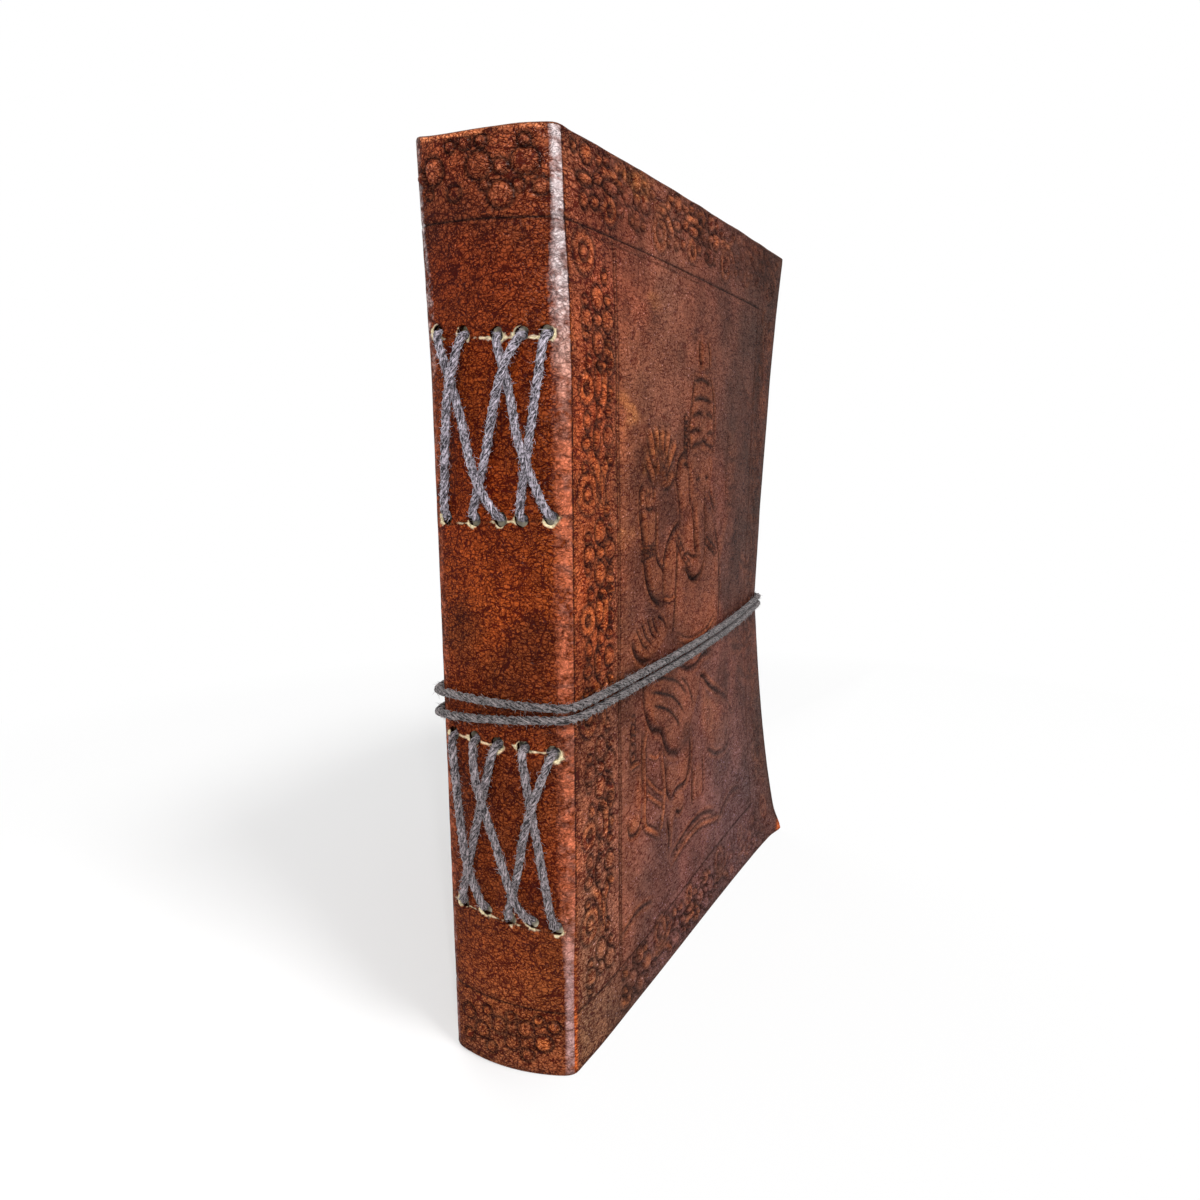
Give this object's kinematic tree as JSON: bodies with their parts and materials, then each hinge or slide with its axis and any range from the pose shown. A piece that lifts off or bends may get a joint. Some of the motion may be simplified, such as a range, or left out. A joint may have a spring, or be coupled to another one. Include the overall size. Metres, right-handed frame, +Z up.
{
  "type": "leather journal",
  "caption": "Hand-bound journal with a folded, embossed leather cover, lacing sewn through its spine and a cord wound round the closed book.",
  "frame": {"origin": "middle of the closed journal's footprint, on the surface that it stands on", "axes": "+Z up along the spine, +X from the spine to the fore edge, front cover towards -Y"},
  "size_m": [0.1487, 0.0388, 0.178],
  "materials": {
    "leather": "satin",
    "pages": "matte",
    "lacing": "matte",
    "cord": "matte"
  },
  "bodies": {
    "root": {"leather_cover": "leather", "text_block": "pages", "upper_lacing": "lacing", "lower_lacing": "lacing", "closure_cord": "cord"}
  },
  "joints": []
}
